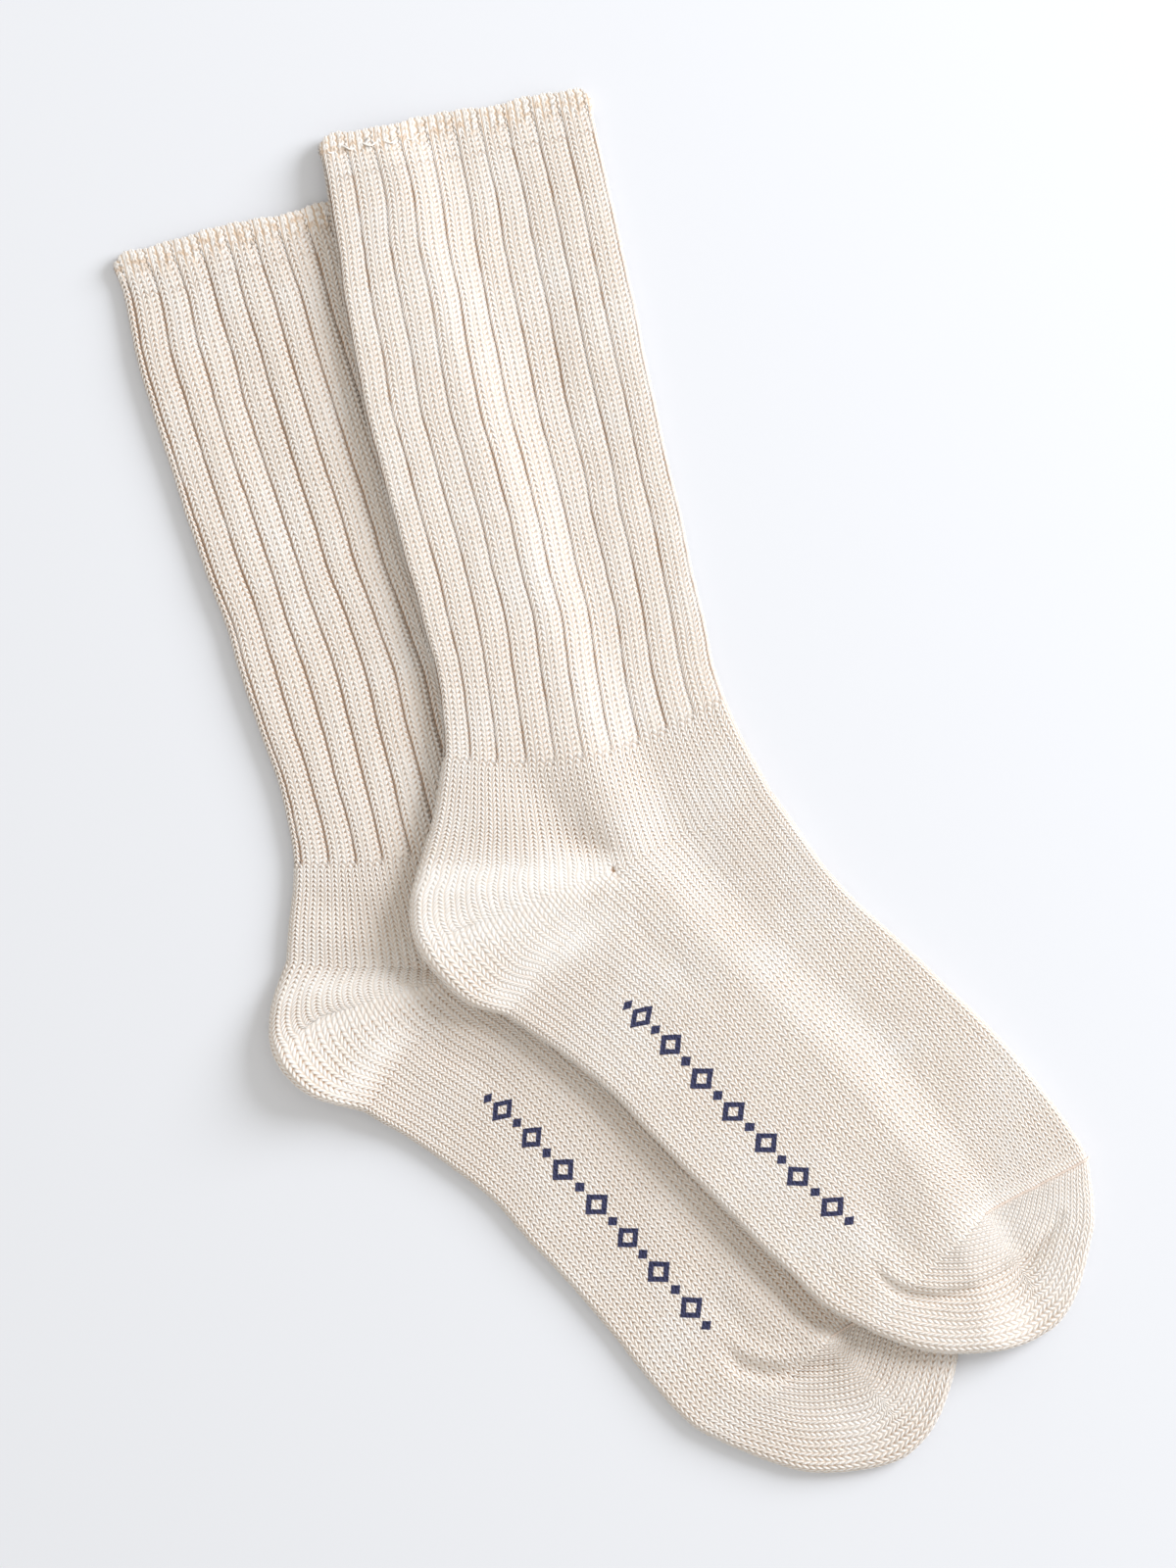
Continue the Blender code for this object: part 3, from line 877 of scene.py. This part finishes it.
# ---------------------------------------------------------------------------------------------
# Ankles and heel pockets. Twenty-three plain rows lead down from the rib, and the heel is a
# pocket knitted to and fro as the toe is, between the ankle and the sole.
# ---------------------------------------------------------------------------------------------
HEEL_SHADE = {"front_sock": 0.06, "back_sock": 0.14}   # painted shade added to the heel's stitches, darkening their eyes
HEEL = {
    "front_sock": {"gore": (-44.5, -47.2), "fold": [
        (0, -59.0, -24.5, 6.2), (9, -62.5, -41.0, 8.0), (18, -60.0, -54.5, 8.8),
        (27, -47.5, -70.0, 8.0), (HEEL_ROWS, -32.5, -76.0, 6.2),
    ]},
    "back_sock": {"gore": (-90.5, -76.0), "fold": [
        (0, -102.5, -58.5, 5.2), (9, -107.5, -75.0, 7.4), (18, -106.5, -88.5, 8.4),
        (27, -96.0, -100.5, 7.4), (HEEL_ROWS, -77.5, -107.0, 5.2),
    ]},
}


def heel_pocket(sock, wales, rows, depth):
    side = np.array(LEG[sock][-1][3:5]) * MM
    ends = chord_share(LEG[sock][-1], 1), chord_share(FOOT[sock][0], 1)
    return pocket(side, HEEL[sock], ends, HEEL_ROWS, HEEL_GORE_WALES, wales, rows, depth)


def ankle_place(sock, wales, rows):
    """A point of the ankle, whose last row goes on into the foot and the heel pocket."""
    free = free_of_gore(wales, rows - HEEL_START, HEEL_ROWS, HEEL_GORE_WALES, HELD_ROWS)
    depth = held_depth(wales, relief(sock, wales, rows), free)
    at_rows = slanted(wales, rows, free)
    beyond = at_rows > HEEL_START
    leg_rows = np.minimum(at_rows, HEEL_START)
    points, upward = tube(LEG[sock], gathered(sock, wales, rows), leg_rows, depth)
    foot, up_foot = tube(FOOT[sock], wales, np.maximum(at_rows, HEEL_START), depth)
    heel, up_heel = heel_pocket(sock, wales, np.maximum(at_rows - HEEL_START, 0), depth)
    on_heel = from_fold(wales) > SIDE
    further = np.where(on_heel[..., None], heel, foot)
    points = np.where(beyond[..., None], further, points)
    return points, np.where(beyond, np.where(on_heel, up_heel, up_foot), upward), depth


def heel_place(sock, wales, rows):
    """A point of the heel pocket, whose last row goes on into the foot."""
    held, to_gore = in_pocket(wales, rows, HEEL_ROWS, HEEL_GORE_WALES)
    free = np.clip(to_gore / HELD_ROWS, 0, 1)
    depth = held_depth(wales, stitch_depth(sock, wales, rows), free)
    at_rows = slanted(wales, held, free)
    points, upward = heel_pocket(sock, wales, np.minimum(at_rows, HEEL_ROWS), depth)
    past = np.maximum(at_rows - HEEL_ROWS, 0) + HEEL_START
    foot, up_foot = tube(FOOT[sock], wales, past, depth)
    beyond = at_rows > HEEL_ROWS
    points = np.where(beyond[..., None], foot, points)
    return points, np.where(beyond, up_foot, upward), depth + HEEL_SHADE[sock] * free * MM


for sock in SOCKS:
    ankle = knit(
        sock, "ankle", columns(0, NEEDLES), lines_between(RIB_END, HEEL_START), ankle_place,
        plain_cotton,
    )
    heel = knit(
        sock, "heel", columns(SIDE, NEEDLES - SIDE), lines_between(0, HEEL_ROWS), heel_place,
        plain_cotton,
    )

# ---------------------------------------------------------------------------------------------
# Laying the pair. Each heel is a cup, so its end stands a little off what it lies on. The front
# sock lies over the back one, lifted by its height where they lap, and comes down to the table
# past its edge. The back one is pressed flatter along that edge.
# ---------------------------------------------------------------------------------------------
LAPPED = 5.6 * MM             # the back sock's height and a hair's breadth
SHOULDER, LANDING = 7 * MM, 27 * MM
# Half width, and x, y and how far the heel stands up, in millimetres.
CUPPED = {
    "back_sock": [(14.0, [(-110, -86, 1.6), (-106, -97, 5.0), (-96, -108, 8.4), (-83, -112, 6.0)])],
    "front_sock": [(12.0, [(-66, -44, 1.6), (-62, -60, 2.6), (-46, -76, 2.4)])],
}
CUP_UNDERSIDE = 0.35          # how much of that rise the under layer shares


def cupped(points, sock):
    """How far each point of a sock rises where its heel stands up."""
    layer = np.clip(points[:, 2] / (5.0 * MM), 0, 1)
    rise = near_lines(points[:, :2].astype(float), CUPPED[sock]) * MM
    return rise * (CUP_UNDERSIDE + (1 - CUP_UNDERSIDE) * layer)


def outline(sock):
    """The sock's edge seen from above: down the instep, round the toe and back up the sole."""
    leg = follow(rings(LEG[sock]), np.linspace(0, HEEL_START, 34))
    foot = follow(rings(FOOT[sock]), np.linspace(HEEL_START, TOE_START, 24))
    heel = follow(fold_of(HEEL[sock]), np.linspace(0, HEEL_ROWS, 10))
    toe = follow(fold_of(TOE[sock]), np.linspace(0, TOE_ROWS, 14))
    return np.concatenate([
        leg[:, 0:2], foot[:, 0:2], toe[::-1, 0:2], foot[::-1, 4:6], heel[::-1, 0:2], leg[::-1, 4:6]
    ])


def distance_outside(plan, edge):
    """Distance from each point to a closed outline, and less than zero inside it."""
    run = np.roll(edge, -1, axis=0) - edge
    reach = np.full(len(plan), np.inf)
    crossings = np.zeros(len(plan), dtype=int)
    for corner, step in zip(edge, run):
        offset = plan - corner
        along = np.clip(offset @ step / max(step @ step, 1e-18), 0.0, 1.0)
        reach = np.minimum(reach, np.linalg.norm(offset - along[:, None] * step, axis=1))
        level = plan[:, 1]
        spans = (corner[1] > level) != (corner[1] + step[1] > level)
        rise = step[1] if step[1] != 0 else 1.0
        crossings += spans & (plan[:, 0] < corner[0] + (level - corner[1]) / rise * step[0])
    return np.where(crossings % 2 == 1, -reach, reach)


PRESSED, PRESS_REACH = 0.36, 8.0 * MM   # share of its height that the back sock loses, and where

for sock, other in (SOCKS, SOCKS[::-1]):
    edge = outline(other)
    for piece in [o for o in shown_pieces() if o.name.startswith(sock.replace("sock", ""))]:
        points = np.empty(len(piece.data.vertices) * 3, np.float32)
        piece.data.vertices.foreach_get("co", points)
        points = points.reshape(-1, 3)
        past = distance_outside(points[:, :2].astype(float), edge)
        if sock == "back_sock":
            points[:, 2] *= 1 - PRESSED * np.exp(-((past / PRESS_REACH) ** 2))
        points[:, 2] += cupped(points, sock)
        if sock == "front_sock":
            points[:, 2] += LAPPED * (1 - ease(past, SHOULDER, LANDING))
        piece.data.vertices.foreach_set("co", points.ravel())
        piece.data.update()

# ---------------------------------------------------------------------------------------------
# The table, the light and the camera, which aren't part of the socks. A pale smooth table top, a
# large soft window light from the upper right, and a camera that looks straight down.
# ---------------------------------------------------------------------------------------------
bpy.ops.object.select_all(action="DESELECT")
bpy.ops.mesh.primitive_plane_add(size=6, location=(0, 0, -0.0002))
table_top = bpy.context.active_object
table_top.name = "table_top"
paint = bpy.data.materials.new("table_paint")
paint.use_nodes = True
paint_surface = paint.node_tree.nodes["Principled BSDF"]
paint_surface.inputs["Base Color"].default_value = (0.805, 0.828, 0.870, 1)
paint_surface.inputs["Roughness"].default_value = 0.7
paint_surface.inputs["Specular IOR Level"].default_value = 0.1
table_top.data.materials.append(paint)

bpy.ops.object.light_add(type="AREA", location=(1.76, 1.02, 1.08))
window = bpy.context.active_object
window.name = "window"
window.data.shape = "DISK"
window.data.size = 1.4
window.data.energy = 53.0
window.data.color = (0.939, 0.956, 1.0)
aim = -window.location.normalized()
window.rotation_mode = "QUATERNION"
window.rotation_quaternion = aim.to_track_quat("-Z", "Y")

world = bpy.data.worlds.new("studio")
bpy.context.scene.world = world
world.use_nodes = True
world.node_tree.nodes["Background"].inputs["Color"].default_value = (1.0, 0.970, 0.925, 1)
world.node_tree.nodes["Background"].inputs["Strength"].default_value = 0.70

CAMERA_HEIGHT = 1.4
VIEW_LONG_SIDE = 0.5056       # metres of table across the long side of the picture
bpy.ops.object.camera_add(location=(-0.0055, -0.0016, CAMERA_HEIGHT))
camera = bpy.context.active_object
camera.name = "camera"
camera.data.sensor_width = 36
camera.data.lens = 36 * CAMERA_HEIGHT / VIEW_LONG_SIDE
bpy.context.scene.camera = camera
bpy.context.scene.view_settings.view_transform = "Standard"
